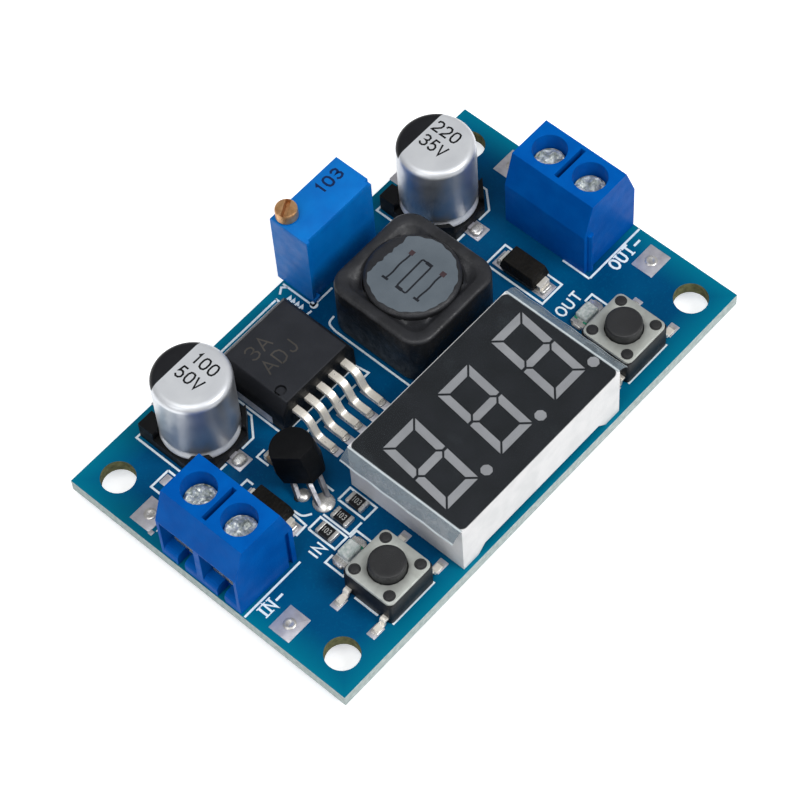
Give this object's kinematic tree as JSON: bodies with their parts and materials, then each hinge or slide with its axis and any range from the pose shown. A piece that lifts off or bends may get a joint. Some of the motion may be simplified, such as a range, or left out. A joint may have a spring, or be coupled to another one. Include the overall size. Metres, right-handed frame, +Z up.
{
  "type": "buck converter module",
  "caption": "Small blue circuit board that steps a voltage down, with screw terminal blocks at both ends, a digit display, push buttons, a shielded coil and a trimmer.",
  "frame": {"origin": "centre of the four mounting holes, on the board's underside", "axes": "+X along the board to the output end, +Y across it to the edge with the trimmer, +Z up out of the component side"},
  "size_m": [0.057, 0.0359, 0.0145],
  "materials": {
    "board_laminate": "glossy blue solder mask on glass fibre laminate",
    "terminal_blue": "moulded, satin",
    "tinned_brass": "tin plated",
    "plated_steel": "zinc plated",
    "can_aluminium": "bright drawn, film coated",
    "black_plastic": "moulded",
    "ferrite": "sintered, matt",
    "enamelled_copper": "enamelled wire",
    "mould_black": "transfer moulded epoxy",
    "trimmer_blue": "moulded, satin",
    "trimmer_brass": "machined",
    "alumina": "fired",
    "white_plastic": "moulded, printed black on the face",
    "diffuser": "cast, grey tinted",
    "clear_film": "thin clear film",
    "laminate_plain": "plain laminate",
    "nickel_silver": "satin",
    "button_black": "moulded",
    "diode_epoxy": "transfer moulded epoxy",
    "chip_black": "glazed alumina",
    "chip_tan": "fired",
    "led_lens": "clear cast resin"
  },
  "bodies": {
    "board": {"chip_capacitors": "chip_tan", "chip_resistors": "chip_black", "display_back_board": "laminate_plain", "display_film": "clear_film", "display_pins": "tinned_brass", "display_segments": "diffuser", "display_shell": "white_plastic", "inductor_drum": "ferrite", "inductor_shield": "ferrite", "inductor_terminals": "tinned_brass", "inductor_winding": "enamelled_copper", "input_capacitor_base": "black_plastic", "input_capacitor_can": "can_aluminium", "input_capacitor_tabs": "tinned_brass", "input_diode_body": "diode_epoxy", "input_diode_terminals": "tinned_brass", "input_led": "led_lens", "input_switch_base": "black_plastic", "input_switch_cover": "nickel_silver", "input_switch_dome": "plated_steel", "input_switch_leads": "tinned_brass", "input_terminal_contacts": "tinned_brass", "input_terminal_housing": "terminal_blue", "linear_regulator_body": "mould_black", "linear_regulator_legs": "tinned_brass", "microcontroller_body": "mould_black", "microcontroller_leads": "tinned_brass", "output_capacitor_base": "black_plastic", "output_capacitor_can": "can_aluminium", "output_capacitor_tabs": "tinned_brass", "output_diode_body": "diode_epoxy", "output_diode_terminals": "tinned_brass", "output_led": "led_lens", "output_switch_base": "black_plastic", "output_switch_cover": "nickel_silver", "output_switch_dome": "plated_steel", "output_switch_leads": "tinned_brass", "output_terminal_contacts": "tinned_brass", "output_terminal_housing": "terminal_blue", "pcb": "board_laminate", "regulator_leads": "tinned_brass", "regulator_mould": "mould_black", "regulator_tab": "tinned_brass", "trimmer_base": "black_plastic", "trimmer_element": "alumina", "trimmer_housing": "trimmer_blue", "trimmer_pins": "tinned_brass"},
    "input_pressure_plate_positive": {"input_pressure_plate_positive": "tinned_brass"},
    "input_screw_positive": {"input_screw_positive": "plated_steel"},
    "input_pressure_plate_negative": {"input_pressure_plate_negative": "tinned_brass"},
    "input_screw_negative": {"input_screw_negative": "plated_steel"},
    "input_switch_button": {"input_switch_button": "button_black"},
    "output_pressure_plate_positive": {"output_pressure_plate_positive": "tinned_brass"},
    "output_screw_positive": {"output_screw_positive": "plated_steel"},
    "output_pressure_plate_negative": {"output_pressure_plate_negative": "tinned_brass"},
    "output_screw_negative": {"output_screw_negative": "plated_steel"},
    "output_switch_button": {"output_switch_button": "button_black"},
    "trimmer_screw": {"trimmer_screw": "trimmer_brass"},
    "trimmer_carriage": {"trimmer_carriage": "white_plastic"}
  },
  "joints": [
    {"name": "input_clamp_positive_travel", "type": "slide", "parent": "board", "child": "input_pressure_plate_positive", "axis": [0, 0, 1], "range_m": [0, 0.00158]},
    {"name": "input_screw_positive_turn", "type": "hinge", "parent": "input_pressure_plate_positive", "child": "input_screw_positive", "pos_m": [-0.02465, 0.00299, 0.0116], "axis": [0, 0, 1], "range_deg": [0, 1261]},
    {"name": "input_clamp_negative_travel", "type": "slide", "parent": "board", "child": "input_pressure_plate_negative", "axis": [0, 0, 1], "range_m": [0, 0.00158]},
    {"name": "input_screw_negative_turn", "type": "hinge", "parent": "input_pressure_plate_negative", "child": "input_screw_negative", "pos_m": [-0.02465, -0.00209, 0.0116], "axis": [0, 0, 1], "range_deg": [0, 1261]},
    {"name": "input_button_press", "type": "slide", "parent": "board", "child": "input_switch_button", "axis": [0, 0, -1], "range_m": [0, 0.00025], "stiffness_N_per_m": 600, "springref_m": -0.0005},
    {"name": "output_clamp_positive_travel", "type": "slide", "parent": "board", "child": "output_pressure_plate_positive", "axis": [0, 0, 1], "range_m": [0, 0.00158]},
    {"name": "output_screw_positive_turn", "type": "hinge", "parent": "output_pressure_plate_positive", "child": "output_screw_positive", "pos_m": [0.02465, 0.00299, 0.0116], "axis": [0, 0, 1], "range_deg": [0, 1261]},
    {"name": "output_clamp_negative_travel", "type": "slide", "parent": "board", "child": "output_pressure_plate_negative", "axis": [0, 0, 1], "range_m": [0, 0.00158]},
    {"name": "output_screw_negative_turn", "type": "hinge", "parent": "output_pressure_plate_negative", "child": "output_screw_negative", "pos_m": [0.02465, -0.00209, 0.0116], "axis": [0, 0, 1], "range_deg": [0, 1261]},
    {"name": "output_button_press", "type": "slide", "parent": "board", "child": "output_switch_button", "axis": [0, 0, -1], "range_m": [0, 0.00025], "stiffness_N_per_m": 600, "springref_m": -0.0005},
    {"name": "trimmer_turn", "type": "hinge", "parent": "board", "child": "trimmer_screw", "pos_m": [0.0025, 0.01717, 0.0117], "axis": [0, 0, 1], "range_deg": [-4501, 4501]},
    {"name": "trimmer_carriage_travel", "type": "slide", "parent": "board", "child": "trimmer_carriage", "axis": [0, 0, 1], "range_m": [-0.003, 0.003]}
  ],
  "couplings": [
    {"joint": "input_screw_positive_turn", "follows": "input_clamp_positive_travel", "rad_per_m": 13963},
    {"joint": "input_screw_negative_turn", "follows": "input_clamp_negative_travel", "rad_per_m": 13963},
    {"joint": "output_screw_positive_turn", "follows": "output_clamp_positive_travel", "rad_per_m": 13963},
    {"joint": "output_screw_negative_turn", "follows": "output_clamp_negative_travel", "rad_per_m": 13963},
    {"joint": "trimmer_turn", "follows": "trimmer_carriage_travel", "rad_per_m": -26180}
  ]
}
